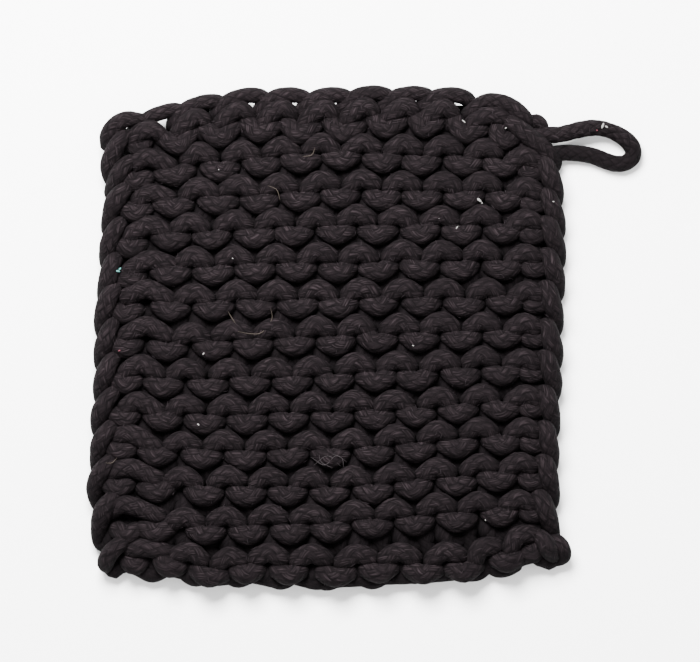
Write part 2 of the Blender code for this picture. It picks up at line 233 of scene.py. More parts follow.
@dataclass(frozen=True)
class BraidedCord:
    """The round braided cord that the whole trivet is worked in."""

    radius: float = 3.6
    plait_pitch: float = 5.6
    strands_each_way: int = 6
    relief: float = 0.025
    unevenness: float = 0.035
    painted_shade: PaintedShade = PaintedShade()

    START_PLAITS = 10.0
    SWELL_SPACING = 9.0
    MEAN_HEIGHT = 0.7

    def plait(self, along: np.ndarray, turn: np.ndarray) -> np.ndarray:
        """How high the braid stands at places on the cord, from 0 in the grooves to 1.

        Two families of strands wind round the cord the opposite ways. Where they cross, they
        take turns to lie on top, and a strand is a rounded ridge across and a low hump along.

        Args:
            along: The distance along the cord.
            turn: The place round the cord, in whole turns.

        Returns:
            The height at each place.
        """
        one = along / self.plait_pitch + turn * self.strands_each_way
        other = along / self.plait_pitch - turn * self.strands_each_way
        swapped = np.mod(np.floor(one) + np.floor(other), 2.0) > 0.5
        across = np.where(swapped, np.mod(other, 1.0), np.mod(one, 1.0)) - 0.5
        lengthwise = np.where(swapped, np.mod(one, 1.0), np.mod(other, 1.0)) - 0.5
        return (1.0 - np.abs(2.0 * across) ** 3.0) * (1.0 - 0.5 * np.abs(2.0 * lengthwise) ** 3.0)

    def skin(
        self, route: np.ndarray, along: np.ndarray, sides: int, rng: np.random.Generator
    ) -> np.ndarray:
        """The rings of points on the cord's surface, no lower than the table.

        Each ring is a circle across the line. Its radius is the cord's, swollen and pinched a
        little along the way, and raised by the braid.

        Args:
            route: The cord's middle line, and its thickness along it.
            along: The distance along the cord at each point of the line.
            sides: The points round a ring.
            rng: Where the unevenness comes from.

        Returns:
            The places, shape (points, sides, 3).
        """
        line, radius = route[:, :3], self.radius * route[:, 3:]
        knots = rng.normal(0.0, 1.0, max(4, int(along[-1] / self.SWELL_SPACING)))
        swell = np.interp(along, np.linspace(0.0, along[-1], len(knots)), knots)
        turn = np.arange(sides) / sides
        height = self.plait(along[:, None], turn[None, :]) - self.MEAN_HEIGHT
        reach = radius * (1.0 + self.unevenness * swell[:, None] + self.relief * height)
        skin = line[:, None, :] + rings_round(line, sides) * reach[:, :, None]
        skin[:, :, 2] = np.maximum(skin[:, :, 2], 0.0)
        return skin

    def tube(
        self, name: str, route: np.ndarray, sides: int, rng: np.random.Generator
    ) -> bpy.types.Object:
        """A closed tube of cord along a line, with its maps of the braid and of the shade painted into
        its colour.

        Args:
            name: The piece's name.
            route: The cord's middle line, and its thickness along it.
            sides: The points round a ring.
            rng: Where the unevenness comes from.

        Returns:
            The tube.
        """
        line, rings = route[:, :3], len(route)
        steps = np.linalg.norm(np.diff(line, axis=0), axis=1)
        along = np.concatenate([[0.0], np.cumsum(steps)]) + self.START_PLAITS * self.plait_pitch
        skin = self.skin(route, along, sides, rng)
        verts = np.concatenate([skin.reshape(-1, 3), line[:1], line[-1:]])
        walls, brim = wall_faces(rings, sides), np.arange(sides)
        next_brim = (brim + 1) % sides
        base = (rings - 1) * sides
        start = np.stack([next_brim, brim, np.full(sides, rings * sides)], axis=1)
        end = np.stack([base + brim, base + next_brim, np.full(sides, rings * sides + 1)], axis=1)
        corners = np.concatenate([walls.ravel(), start.ravel(), end.ravel()]).astype(np.int32)
        totals = np.concatenate([np.full(len(walls), 4), np.full(2 * sides, 3)]).astype(np.int32)
        mesh = bpy.data.meshes.new(name)
        mesh.vertices.add(len(verts))
        mesh.vertices.foreach_set("co", (verts * MM).astype(np.float32).ravel())
        mesh.loops.add(len(corners))
        mesh.loops.foreach_set("vertex_index", corners)
        mesh.polygons.add(len(totals))
        mesh.polygons.foreach_set("loop_start", np.cumsum(totals) - totals)
        mesh.polygons.foreach_set("loop_total", totals)
        mesh.update(calc_edges=True)
        self.draw_maps(mesh, along / self.plait_pitch, sides, self.painted_shade.openness(verts)[corners])
        mesh.polygons.foreach_set("use_smooth", np.ones(len(totals), dtype=bool))
        mesh.update()
        return add_object(name, mesh)

    def draw_maps(
        self, mesh: bpy.types.Mesh, plaits: np.ndarray, sides: int, openness: np.ndarray
    ) -> None:
        """Gives a tube two maps: plaits along it and turns round it, and how open each place is, for
        the painted shade.

        Args:
            mesh: The tube.
            plaits: The plaits gone by at each ring.
            sides: The points round a ring.
            openness: The openness at each corner of each face.
        """
        row, col = np.meshgrid(np.arange(len(plaits) - 1), np.arange(sides), indexing="ij")
        brim = np.arange(sides)
        here, there = plaits[row], plaits[row + 1]
        wall_u = np.stack([here, here, there, there], axis=-1)
        wall_v = np.stack([col, col + 1, col + 1, col], axis=-1) / sides
        start_v = np.stack([brim + 1, brim, brim + 0.5], axis=1) / sides
        end_v = np.stack([brim, brim + 1, brim + 0.5], axis=1) / sides
        caps_u = np.repeat([plaits[0], plaits[-1]], 3 * sides)
        u = np.concatenate([wall_u.ravel(), caps_u])
        v = np.concatenate([wall_v.ravel(), start_v.ravel(), end_v.ravel()])
        for name, values in (
            ("cord_map", np.stack([u, v], axis=1)), ("light_map", np.repeat(openness, 2)),
        ):
            layer = mesh.uv_layers.new(name=name)
            layer.uv.foreach_set("vector", values.astype(np.float32).ravel())


# finishes


class Wire:
    """A node's output socket, with the arithmetic that the finishes use."""

    def __init__(self, tree: bpy.types.NodeTree, socket: bpy.types.NodeSocket) -> None:
        """Wraps an output socket of a node tree."""
        self.tree = tree
        self.socket = socket

    def maths(self, operation: str, *others: "Wire | float") -> "Wire":
        """A Math node with this wire as its first value.

        Args:
            operation: The Math node's operation.
            others: Its second and third values.

        Returns:
            The result.
        """
        values = {0: self, **dict(enumerate(others, 1))}
        return add_node(self.tree, "ShaderNodeMath", {"operation": operation}, values)

    def __add__(self, other: "Wire | float") -> "Wire":
        """This plus other."""
        return self.maths("ADD", other)

    __radd__ = __add__

    def __mul__(self, other: "Wire | float") -> "Wire":
        """This times other."""
        return self.maths("MULTIPLY", other)

    __rmul__ = __mul__

    def __sub__(self, other: "Wire | float") -> "Wire":
        """This less other."""
        return self.maths("SUBTRACT", other)

    def __rsub__(self, other: float) -> "Wire":
        """Other less this."""
        return self.maths("MULTIPLY_ADD", -1.0, other)

    def __pow__(self, other: "Wire | float") -> "Wire":
        """This to the power of other."""
        return self.maths("POWER", other)


def add_node(
    tree: bpy.types.NodeTree,
    kind: str,
    settings: dict[str, object] | None = None,
    inputs: dict[int | str, object] | None = None,
    output: int | str = 0,
) -> Wire:
    """Adds any node to a tree.

    Args:
        tree: The node tree.
        kind: The node's type.
        settings: Its own settings, which are set first; "stops" gives a ramp's places and
            colours.
        inputs: The value or the wire for each of its input sockets.
        output: Which output to give back.

    Returns:
        The chosen output.
    """
    node = tree.nodes.new(kind)
    for name, value in (settings or {}).items():
        if name == "stops":
            elements = node.color_ramp.elements
            for k, (place, colour) in enumerate(value):
                stop = elements[k] if k < 2 else elements.new(place)
                stop.position, stop.color = place, (*colour, 1.0)
        else:
            setattr(node, name, value)
    for name, value in (inputs or {}).items():
        if isinstance(value, Wire):
            tree.links.new(value.socket, node.inputs[name])
        else:
            node.inputs[name].default_value = value
    return Wire(tree, node.outputs[output])


def new_material(name: str) -> tuple[bpy.types.Material, bpy.types.NodeTree]:
    """A material with an empty node tree."""
    material = bpy.data.materials.new(name)
    material.use_nodes = True
    material.node_tree.nodes.clear()
    return material, material.node_tree


def finish_surface(
    tree: bpy.types.NodeTree,
    base: "Wire | tuple[float, ...]",
    roughness: float,
    specular: float,
    others: dict[str, object],
) -> None:
    """Ends a material in one surface.

    Args:
        tree: The material's nodes.
        base: Its colour.
        roughness: Its roughness.
        specular: How strongly it reflects.
        others: The values or wires for its other inputs.
    """
    inputs = {"Base Color": base, "Roughness": roughness, "Specular IOR Level": specular, **others}
    shader = add_node(tree, "ShaderNodeBsdfPrincipled", {}, inputs)
    end = tree.nodes.new("ShaderNodeOutputMaterial")
    tree.links.new(shader.socket, end.inputs["Surface"])


def add_noise(
    tree: bpy.types.NodeTree, place: Wire, scale: float, detail: float, roughness: float
) -> Wire:
    """A noise texture's value, about 0.5 on average."""
    inputs = {"Vector": place, "Scale": scale, "Detail": detail, "Roughness": roughness}
    return add_node(tree, "ShaderNodeTexNoise", {}, inputs, "Fac")


@dataclass(frozen=True)
class Blend:
    """How much each part of the cord's pattern counts, and what is added to them all."""

    strand: float
    ribs: float
    streaks: float
    grain: float
    added: float = 0.0

    def of(self, strand: Wire, ribs: Wire, streaks: Wire, grain: Wire) -> Wire:
        """The parts added up, each by its weight."""
        yarns = strand * self.strand + ribs * self.ribs
        return yarns + streaks * self.streaks + grain * self.grain + self.added


@dataclass(frozen=True)
class BraidedCotton:
    """Charcoal black braided cotton: plaited strands of fine yarns, with paler fibres on top, painted
    darker in the grooves as shade and paler on the tops partly as painted highlight.
    """

    # the first colour is painted shade in the grooves; pale is partly the fibres' own tone and partly
    # painted highlight on the strands' tops
    painted_groove_shade: Colour = (0.0013, 0.0009, 0.0011)
    body: Colour = (0.0041, 0.0029, 0.0034)
    pale: Colour = (0.0118, 0.0087, 0.0098)
    body_stop: float = 0.55
    roughness: float = 0.92
    specular: float = 0.04
    yarns: float = 4.0
    bump_depth: float = 0.45 * MM
    streak_run: float = 0.7
    streaks_across: float = 8.5
    streaks_apart: float = 7.0
    least_light: float = 0.2
    patch_share: float = 0.5
    patch_scale: float = 60.0
    grain_scale: float = 1700.0
    bump: Blend = Blend(0.5, 0.05, 0.6, 0.08)
    tone: Blend = Blend(0.42, 0.04, 3.6, 0.3, -1.92)

    def material(self, cord: BraidedCord) -> bpy.types.Material:
        """The finish, drawn on each piece's own map of the cord.

        The strands are the same ridges and humps as in the mesh. Each is ribbed by its yarns, and
        streaks of fibre run along it. Grooves are painted darker as shade, and the tops of strands and
        fibres paler, partly the fibres' own tone and partly painted highlight. The map of the light is
        painted shade: it darkens the colour in the clefts between the strands and on the loop's lower
        limb.

        Args:
            cord: The cord that the finish is for.

        Returns:
            The material.
        """
        material, tree = new_material("braided_cotton")
        uv = add_node(tree, "ShaderNodeUVMap", {"uv_map": "cord_map"})
        along = add_node(tree, "ShaderNodeSeparateXYZ", {}, {0: uv}, "X")
        turn = Wire(tree, along.socket.node.outputs["Y"]) * float(cord.strands_each_way)
        one, other = along + turn, along - turn
        swapped = (one.maths("FLOOR") + other.maths("FLOOR")).maths("FLOORED_MODULO", 2.0)
        crossing, running = one.maths("FRACT") - 0.5, other.maths("FRACT") - 0.5
        across = crossing + (running - crossing) * swapped
        lengthwise = running + (crossing - running) * swapped
        strand_run = other + (one - other) * swapped
        strand_side = one + (other - one) * swapped
        rounded = 1.0 - (across * 2.0).maths("ABSOLUTE") ** 3.0
        hump = 1.0 - (lengthwise * 2.0).maths("ABSOLUTE") ** 3.0 * 0.5
        strand = rounded * hump
        ribs = (across * (FULL_TURN * self.yarns)).maths("COSINE") * 0.5 + 0.5
        streak_places = {
            "X": strand_run * self.streak_run,
            "Y": strand_side * self.streaks_across,
            "Z": swapped * self.streaks_apart,
        }
        streak_place = add_node(tree, "ShaderNodeCombineXYZ", {}, streak_places)
        streaks = add_noise(tree, streak_place, 1.0, 3.0, 0.6)
        place = add_node(tree, "ShaderNodeTexCoord", {}, {}, "Object")
        patches = add_noise(tree, place, self.patch_scale, 2.0, 0.5)
        grain = add_noise(tree, place, self.grain_scale, 2.0, 0.6)
        light_place = add_node(tree, "ShaderNodeUVMap", {"uv_map": "light_map"})
        openness = add_node(tree, "ShaderNodeSeparateXYZ", {}, {0: light_place}, "X")
        # painted shade: the colour is darkened where the light map says the cord is sheltered
        light = openness * (1.0 - self.least_light) + self.least_light
        # strand tops and streaks come out paler, partly painted highlight; grooves and gaps between
        # yarns darker, painted shade
        tone = self.tone.of(strand, ribs, streaks, grain).maths("MAXIMUM", 0.0)
        tone = tone.maths("MINIMUM", 1.0) * light
        stops = ((0.0, self.painted_groove_shade), (self.body_stop, self.body), (1.0, self.pale))
        patched = tone * (patches * self.patch_share + (1.0 - 0.5 * self.patch_share))
        base = add_node(tree, "ShaderNodeValToRGB", {"stops": stops}, {"Fac": patched}, "Color")
        height = self.bump.of(strand, ribs, streaks, grain)
        bump_inputs = {"Strength": 1.0, "Distance": self.bump_depth, "Height": height}
        bump = add_node(tree, "ShaderNodeBump", {}, bump_inputs)
        finish_surface(tree, base, self.roughness, self.specular, {"Normal": bump})
        return material


@dataclass(frozen=True)
class PlainFinish:
    """A matt surface of one colour, for lint, the middle layer painted dark as shade, and the floor.
    """

    name: str
    colour: Colour
    roughness: float = 0.8
    specular: float = 0.2

    def material(self) -> bpy.types.Material:
        """The material."""
        material, tree = new_material(self.name)
        finish_surface(tree, (*self.colour, 1.0), self.roughness, self.specular, {})
        return material


def dress(piece: bpy.types.Object, material: bpy.types.Material, *nodes: str) -> bpy.types.Object:
    """Gives a piece its finish and its body, and hides the solids it stands for."""
    piece.data.materials.clear()
    piece.data.materials.append(material)
    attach(piece, BODY)
    if nodes:
        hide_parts(*nodes)
    return piece


# the knitting


@dataclass(frozen=True)
class RidgeRow:
    """Where one ridge of the face runs: its middle line's height at five places, and its columns.

    The five heights are at the rims, 22 mm further in, and in the middle. left_x is the left
    silhouette, first_x and last_x are the first and last full stitch.
    """

    left_rim_y: float
    left_y: float
    middle_y: float
    right_y: float
    right_rim_y: float
    left_x: float
    first_x: float
    last_x: float
    right_x: float

    STATIONS = (-89.5, -67.5, 4.0, 75.0, 95.0)

    def heights(self) -> tuple[float, ...]:
        """The heights at the stations."""
        return (self.left_rim_y, self.left_y, self.middle_y, self.right_y, self.right_rim_y)


RIDGE_ROWS = tuple(RidgeRow(*row) for row in (
    (91.5, 91.5, 98.5, 95.5, 82.0, -95.5, -76.0, 80.5, 94.5),
    (77.5, 77.0, 83.0, 79.5, 71.0, -98.0, -77.0, 82.5, 98.0),
    (62.5, 63.0, 66.5, 65.5, 59.0, -97.0, -76.0, 82.5, 99.0),
    (47.5, 48.5, 51.0, 51.5, 46.0, -98.0, -76.0, 81.0, 98.5),
    (33.0, 33.5, 35.5, 36.5, 31.5, -99.5, -76.0, 81.0, 100.0),
    (20.5, 18.5, 20.0, 21.0, 16.5, -100.5, -78.0, 81.5, 99.0),
    (5.0, 1.0, 4.5, 6.5, 2.0, -100.5, -78.0, 81.0, 98.5),
    (-10.5, -14.5, -12.0, -8.5, -13.0, -100.5, -81.0, 81.0, 98.0),
    (-25.5, -29.5, -28.5, -23.5, -28.0, -101.5, -81.0, 81.5, 97.5),
    (-40.0, -44.5, -44.0, -38.0, -42.5, -102.5, -83.5, 81.0, 97.0),
    (-54.5, -59.7, -60.0, -53.0, -57.5, -103.5, -84.5, 79.5, 96.5),
    (-71.0, -77.0, -75.0, -68.5, -72.5, -102.0, -84.0, 80.5, 98.0),
    (-87.5, -89.0, -92.5, -86.0, -88.0, -101.5, -85.5, 81.5, 100.5),
))


# the strands that turn round a side, one beside each ridge, each from its top to its foot
LEFT_TURNS = (
    ((-89.2, 88.8), (-92.6, 82.9), (-94.8, 77.3), (-93.9, 71.8)),
    ((-87.1, 77.8), (-90.1, 74.0), (-92.6, 69.3), (-93.9, 65.9)),
    ((-88.4, 66.3), (-92.2, 61.2), (-94.3, 55.7), (-95.2, 50.6)),
    ((-91.0, 51.0), (-93.9, 45.5), (-95.2, 40.4), (-95.6, 36.1)),
    ((-92.6, 36.1), (-94.3, 30.2), (-96.0, 25.1), (-96.5, 20.8)),
    ((-93.1, 23.4), (-95.6, 17.8), (-97.3, 11.5), (-97.3, 6.4)),
    ((-93.5, 8.5), (-95.6, 3.0), (-97.3, -2.1), (-97.8, -7.2)),
    ((-93.5, -6.4), (-96.0, -11.9), (-97.8, -17.4), (-97.8, -22.1)),
    ((-93.5, -20.8), (-96.9, -25.9), (-98.6, -31.0), (-98.6, -36.1)),
    ((-94.3, -35.3), (-97.8, -40.4), (-99.0, -45.9), (-99.5, -51.0)),
    ((-94.8, -49.7), (-98.6, -54.8), (-100.3, -59.9), (-99.5, -65.5)),
    ((-93.1, -65.0), (-96.5, -70.1), (-98.2, -75.6), (-98.6, -82.0)),
    ((-89.3, -83.7), (-93.5, -87.6), (-95.6, -91.6), (-94.3, -93.1)),
)

RIGHT_TURNS = (
    ((77.3, 95.2), (85.4, 88.8), (92.6, 82.9), (95.6, 79.0)),
    ((91.5, 77.3), (93.5, 72.2), (95.6, 66.7), (96.0, 62.5)),
    ((92.3, 64.2), (94.3, 59.1), (96.5, 54.0), (96.9, 48.9)),
    ((92.7, 52.3), (94.3, 47.2), (96.5, 42.1), (96.9, 36.5)),
    ((92.7, 38.7), (94.3, 33.6), (96.0, 28.5), (96.5, 22.9)),
    ((92.3, 24.6), (93.9, 18.7), (95.6, 13.6), (96.0, 8.1)),
    ((92.3, 8.5), (93.5, 3.0), (95.2, -2.1), (95.2, -7.2)),
    ((91.9, -4.7), (93.1, -9.8), (94.8, -15.3), (94.3, -20.8)),
    ((91.5, -20.0), (92.6, -25.1), (93.9, -30.2), (94.3, -35.7)),
    ((91.5, -34.9), (92.2, -40.4), (93.5, -45.5), (93.5, -51.0)),
    ((91.0, -49.3), (92.2, -54.8), (93.5, -59.9), (93.9, -65.5)),
    ((89.3, -64.2), (91.0, -69.3), (93.1, -74.8), (94.3, -80.8)),
    ((89.8, -81.5), (91.1, -84.0), (93.3, -87.0), (94.6, -89.2)),
)

LEFT_BOWS = (
    (-79.5, 86.5), (-82.9, 71.0), (-83.3, 57.8), (-85.4, 42.5), (-85.8, 29.3), (-87.1, 14.4),
    (-87.1, 0.0), (-87.1, -15.3), (-88.0, -29.8), (-89.2, -43.8), (-90.5, -59.5), (-86.4, -79.0),
    (-85.4, -93.0),
)

RIGHT_BOWS = (
    (86.0, 88.0), (85.0, 75.2), (85.4, 61.2), (85.0, 48.4), (85.8, 34.0), (86.3, 19.1),
    (85.8, 4.2), (84.6, -10.6), (84.6, -25.5), (84.6, -40.8), (85.0, -56.5), (84.6, -70.1),
    (85.5, -87.5),
)


@dataclass(frozen=True)
class FirstHead:
    """The wide head beside the left side at one ridge: its left foot, its crown and its right foot."""

    left: Place
    crown: Place
    right: Place


FIRST_HEADS = tuple(FirstHead(*row) for row in (
    ((-83.3, 83.7), (-77.8, 85.8), (-70.5, 83.7)),
    ((-83.3, 78.2), (-77.8, 80.8), (-69.7, 77.8)),
    ((-82.0, 62.5), (-77.3, 65.7), (-69.7, 63.8)),
    ((-85.9, 47.2), (-77.3, 51.9), (-71.0, 48.9)),
    ((-85.9, 32.3), (-77.8, 37.0), (-69.3, 35.3)),
    ((-86.7, 21.3), (-78.6, 24.7), (-70.1, 20.8)),
    ((-87.1, 5.1), (-78.6, 8.9), (-70.5, 5.1)),
    ((-87.6, -11.1), (-80.8, -7.2), (-74.0, -11.1)),
    ((-87.1, -25.9), (-81.6, -23.0), (-74.4, -27.2)),
    ((-90.5, -37.8), (-84.2, -37.2), (-75.2, -42.5)),
    ((-93.1, -53.1), (-85.4, -51.2), (-74.8, -55.7)),
    ((-93.1, -69.3), (-86.7, -66.9), (-74.4, -71.4)),
    ((-84.2, -85.9), (-78.2, -85.2), (-71.0, -86.7)),
))

HEAD_SPANS = (
    (-58.0, 80.5), (-55.7, 81.6), (-57.0, 82.5), (-59.5, 82.0), (-58.7, 82.0), (-58.7, 83.3),
    (-59.9, 82.0), (-61.2, 81.6), (-62.5, 81.2), (-63.8, 81.2), (-62.5, 79.9), (-62.1, 79.9),
    (-59.9, 79.9),
)


@dataclass(frozen=True)
class Spot:
    """Where one bow lies: its middle, its turn in degrees, its stretch and how deep it is sunk."""

    x: float
    y: float
    turn: float = 0.0
    stretch: float = 1.0
    sunk: float = 0.2


TOP_SINKERS = tuple(Spot(*row) for row in (
    (-82.0, 86.5, 0.0, 0.6, 2.2), (-65.0, 87.4, 12.0, 1.06), (-47.4, 90.6, 3.0, 1.08),
    (-30.6, 92.6, -12.0, 1.08), (-13.6, 92.2, -9.0, 1.08), (4.7, 92.6, -14.0, 1.15),
    (23.4, 94.2, -6.0, 1.06), (40.0, 94.6, -14.0, 0.95), (57.4, 92.4, -18.0, 1.1),
    (73.5, 89.6, -30.0, 0.85, 0.8), (84.0, 86.5, -35.0, 0.6, 4.0),
))

BOTTOM_HEADS = tuple(Spot(*row) for row in (
    (-59.9, -88.0, -10.0, 1.05), (-43.4, -90.1, 12.0, 0.98), (-26.4, -88.4, 0.0, 1.05),
    (-8.5, -88.8, 3.0, 1.14), (10.2, -89.0, 12.0, 1.12), (28.7, -88.2, 3.0, 1.16),
    (48.2, -88.0, 11.0, 1.12), (64.2, -86.5, 37.0, 0.98), (79.7, -81.4, 35.0, 1.02),
))

BOTTOM_SINKERS = tuple(Spot(*row) for row in (
    (-83.3, -91.6, -5.0, 0.65, 3.2), (-68.9, -92.6, -22.0, 0.8, 0.9),
    (-51.9, -96.9, -8.0, 1.02, 0.6), (-35.7, -95.6, 0.0, 0.88, 0.6),
    (-17.9, -96.0, 0.0, 0.96, 0.6), (2.1, -96.9, 0.0, 1.08, 0.6),
    (20.4, -95.2, 3.0, 1.04, 0.6), (39.1, -95.6, 0.0, 1.04, 0.6),
    (56.5, -94.8, 8.0, 1.0, 0.6), (74.8, -90.7, 8.0, 0.9, 0.8),
    (85.0, -87.1, 30.0, 0.5, 2.4),
))


@dataclass(frozen=True)
class Knitting:
    """Garter stitch, laid out stitch by stitch.

    A course winds through ten full stitches. Its sinkers lie on one face of the mat and its
    heads on the other, one joint further up, and the next course does the same from the face
    where those heads are. So each joint is a ridge on one face: heads above, sinkers below.
    """

    cord: BraidedCord
    columns: int = 10
    thickness: float = 16.9
    head_lift: float = 3.9
    sinker_drop: float = 3.0
    below_cast_on: float = 4.2
    spacing: float = 1.05
    sides: int = 16
    rows: tuple[RidgeRow, ...] = RIDGE_ROWS

    HEAD = (
        (-5.2, -2.9, 7.4, 1.0), (-4.8, -1.2, 2.4, 1.12), (0.2, 1.3, 0.6, 1.18),
        (5.0, -1.3, 2.4, 1.12), (5.4, -3.0, 7.4, 1.0),
    )
    SINKER = (
        (-5.7, 2.4, 7.7, 1.0), (-4.8, 1.2, 2.7, 1.12), (0.0, -0.9, 0.9, 1.2),
        (4.8, 1.2, 2.7, 1.12), (5.7, 2.4, 7.7, 1.0),
    )
    TOP_SINKER = (
        (-6.0, 4.0, 7.4, 1.0), (-5.2, 2.5, 2.4, 1.08), (0.0, -1.9, 0.8, 1.14),
        (5.2, 2.5, 2.4, 1.08), (6.0, 4.0, 7.4, 1.0),
    )
    ACROSS_SPREAD = 0.35
    UPWARD_SPREAD = 0.30
    HEAD_TURN = 2.0
    TURN_SPREAD = 4.0
    STRETCH_SPREAD = 0.035
    SUNK = 0.25
    FOOT_TUCK_X = (-0.4, 0.0, 0.0, 0.0, 0.5)
    FOOT_TUCK_Y = (-1.8, 0.0, 0.0, 0.0, -1.6)
    BACK_CLEARANCE = 0.7
    BACK_DEPTH = 0.32
    BACK_SPREAD = 0.72
    HIDDEN_DROP = 4.5
    HIDDEN_DEPTH = 4.0
    CORNER_LIFT = 5.0

    TURN_Z = (13.5, 13.1, 9.2, 5.2)
    TURN_THICKNESS = (0.98, 1.14, 1.06, 0.9)
    TURN_RISE = (2.4, 1.0, 6.5, 0.9)
    TURN_UNDER = ((2.6, -1.8, 5.0, 0.95), (6.0, 5.0, 4.2, 0.95))
    FIRST_SEED = 100

    def front_z(self) -> float:
        """The height of the cord's middle line on the face."""
        return self.thickness - self.cord.radius

    def joint_face(self, joint: int) -> Face:
        """The face that a joint's ridge stands on, the cast-on ridge being joint 0."""
        return Face.FRONT if joint % 2 == 0 else Face.BACK

    def row_mix(self, joint: int) -> tuple[int, int]:
        """The two ridges of the face that a joint lies between, or one of them twice."""
        last = len(self.rows) - 1
        upper = min(max(last - (joint + 1) // 2, 0), last)
        lower = min(max(last - joint // 2, 0), last)
        return lower, upper

    def joint_y(self, joint: int, x: np.ndarray) -> np.ndarray:
        """A joint's middle line at places along it, halfway between ridges on the back."""
        lower, upper = self.row_mix(joint)
        low = np.interp(x, RidgeRow.STATIONS, self.rows[lower].heights())
        high = np.interp(x, RidgeRow.STATIONS, self.rows[upper].heights())
        level = 0.5 * (low + high)
        return level - self.below_cast_on if joint < 0 else level

    def column_x(self, joint: int, column: np.ndarray) -> np.ndarray:
        """A column's place across the mat, even steps between the first and last stitch."""
        lower, upper = self.row_mix(joint)
        first = 0.5 * (self.rows[lower].first_x + self.rows[upper].first_x)
        last = 0.5 * (self.rows[lower].last_x + self.rows[upper].last_x)
        return first + (last - first) * column / (self.columns - 1)

    def face_x(self, bow: Bow, ridge: int) -> np.ndarray:
        """The places across of a ridge's heads or sinkers, each sinker midway between two heads."""
        heads = np.concatenate(
            [[FIRST_HEADS[ridge].crown[0]], np.linspace(*HEAD_SPANS[ridge], self.columns - 1)]
        )
        if bow is Bow.HEAD:
            return heads
        middles = 0.5 * (heads[1:] + heads[:-1])
        return np.concatenate([LEFT_BOWS[ridge][:1], middles, RIGHT_BOWS[ridge][:1]])

    def spots(self, bow: Bow, ridge: int) -> dict[int, Spot]:
        """The bows of a ridge that are set one by one, by their number from the left."""
        last = len(self.rows) - 1
        if bow is Bow.HEAD:
            return dict(enumerate(BOTTOM_HEADS, 1)) if ridge == last else {}
        if ridge in (0, last):
            return dict(enumerate(TOP_SINKERS if ridge == 0 else BOTTOM_SINKERS))
        left, right = LEFT_BOWS[ridge], RIGHT_BOWS[ridge]
        return {0: Spot(*left, 0.0, 0.8, 0.9), self.columns: Spot(*right, -20.0, 0.9, 2.4)}

    def bows(self, bow: Bow, joint: int, rng: np.random.Generator) -> np.ndarray:
        """The points of all of one joint's heads or sinkers, left to right.

        Each bow is its five points, stretched, turned a little about its middle and set at its
        column. Depth is counted inwards from the face that the joint stands on. The hidden
        course under the cast-on edge is lifted at both ends, which would stick out there.

        Args:
            bow: Heads or sinkers.
            joint: The joint.
            rng: Where the small differences between stitches come from.

        Returns:
            The points and the thickness there, shape (bows, 5, 4).
        """
        heads, front = bow is Bow.HEAD, self.joint_face(joint) is Face.FRONT
        ridge = min(max(len(self.rows) - 1 - joint // 2, 0), len(self.rows) - 1)
        column = np.arange(self.columns) if heads else np.arange(self.columns + 1) - 0.5
        count = len(column)
        middle_x = self.face_x(bow, ridge) if front else self.column_x(joint, column)
        middle_x = middle_x + rng.normal(0.0, self.ACROSS_SPREAD, count)
        offset = self.head_lift if heads else -self.sinker_drop
        if not front:
            offset *= self.BACK_SPREAD
        middle_y = self.joint_y(joint, middle_x) + offset
        middle_y = middle_y + rng.normal(0.0, self.UPWARD_SPREAD, count)
        turn = rng.normal(self.HEAD_TURN if heads else 0.0, self.TURN_SPREAD, count)
        stretch = 1.0 + rng.normal(0.0, self.STRETCH_SPREAD, count)
        sunk = rng.normal(self.SUNK, self.SUNK, count).clip(0.0)
        if front:
            for k, spot in self.spots(bow, ridge).items():
                middle_x[k], middle_y[k], turn[k] = spot.x, spot.y, spot.turn
                stretch[k], sunk[k] = spot.stretch, spot.sunk
        if heads and joint >= 2 * len(self.rows) - 2:
            middle_y -= self.HIDDEN_DROP
            sunk += self.HIDDEN_DEPTH if front else 0.0
        top = front and ridge == 0 and not heads
        shape = np.array(self.HEAD if heads else self.TOP_SINKER if top else self.SINKER)
        angle = np.radians(turn)[:, None]
        dx = shape[None, :, 0] * stretch[:, None]
        dy = np.repeat(shape[None, :, 1], count, axis=0)
        x = middle_x[:, None] + dx * np.cos(angle) - dy * np.sin(angle)
        y = middle_y[:, None] + dx * np.sin(angle) + dy * np.cos(angle)
        if heads and front and ridge > 0:
            first = FIRST_HEADS[ridge]
            places = (first.left, first.left, first.crown, first.right, first.right)
            x[0], y[0] = np.transpose(places)
            x[0] += self.FOOT_TUCK_X
            y[0] += self.FOOT_TUCK_Y
        if joint < 0:
            y[[0, -1]] += self.CORNER_LIFT
        depth = shape[None, :, 2] * (1.0 if front else self.BACK_DEPTH) + sunk[:, None]
        z = self.front_z() - depth if front else self.cord.radius + self.BACK_CLEARANCE + depth
        return np.stack([x, y, z, np.repeat(shape[None, :, 3], count, axis=0)], axis=-1)

    def course(self, heads: np.ndarray, sinkers: np.ndarray) -> np.ndarray:
        """One course from left to right: a sinker, a head, a sinker and so on."""
        between = np.concatenate([sinkers[:-1], heads], axis=1).reshape(-1, 4)
        return np.concatenate([between, sinkers[-1]])

    def turn_line(self, turn: Sequence[Place], inwards: float) -> np.ndarray:
        """The strand over one side at a ridge, from where it comes up beside it to under its foot.

        Args:
            turn: The strand.
            inwards: 1 if the mat lies to the right of it, -1 if to the left.

        Returns:
            The points and the thickness there.
        """
        strand = np.column_stack([turn, self.TURN_Z, self.TURN_THICKNESS])
        joined = [(turn[0], self.TURN_RISE), *((turn[-1], offset) for offset in self.TURN_UNDER)]
        rise, *under = (
            (x + across * inwards, y + up, z, thickness)
            for (x, y), (across, up, z, thickness) in joined
        )
        return np.concatenate([[rise], strand, under])

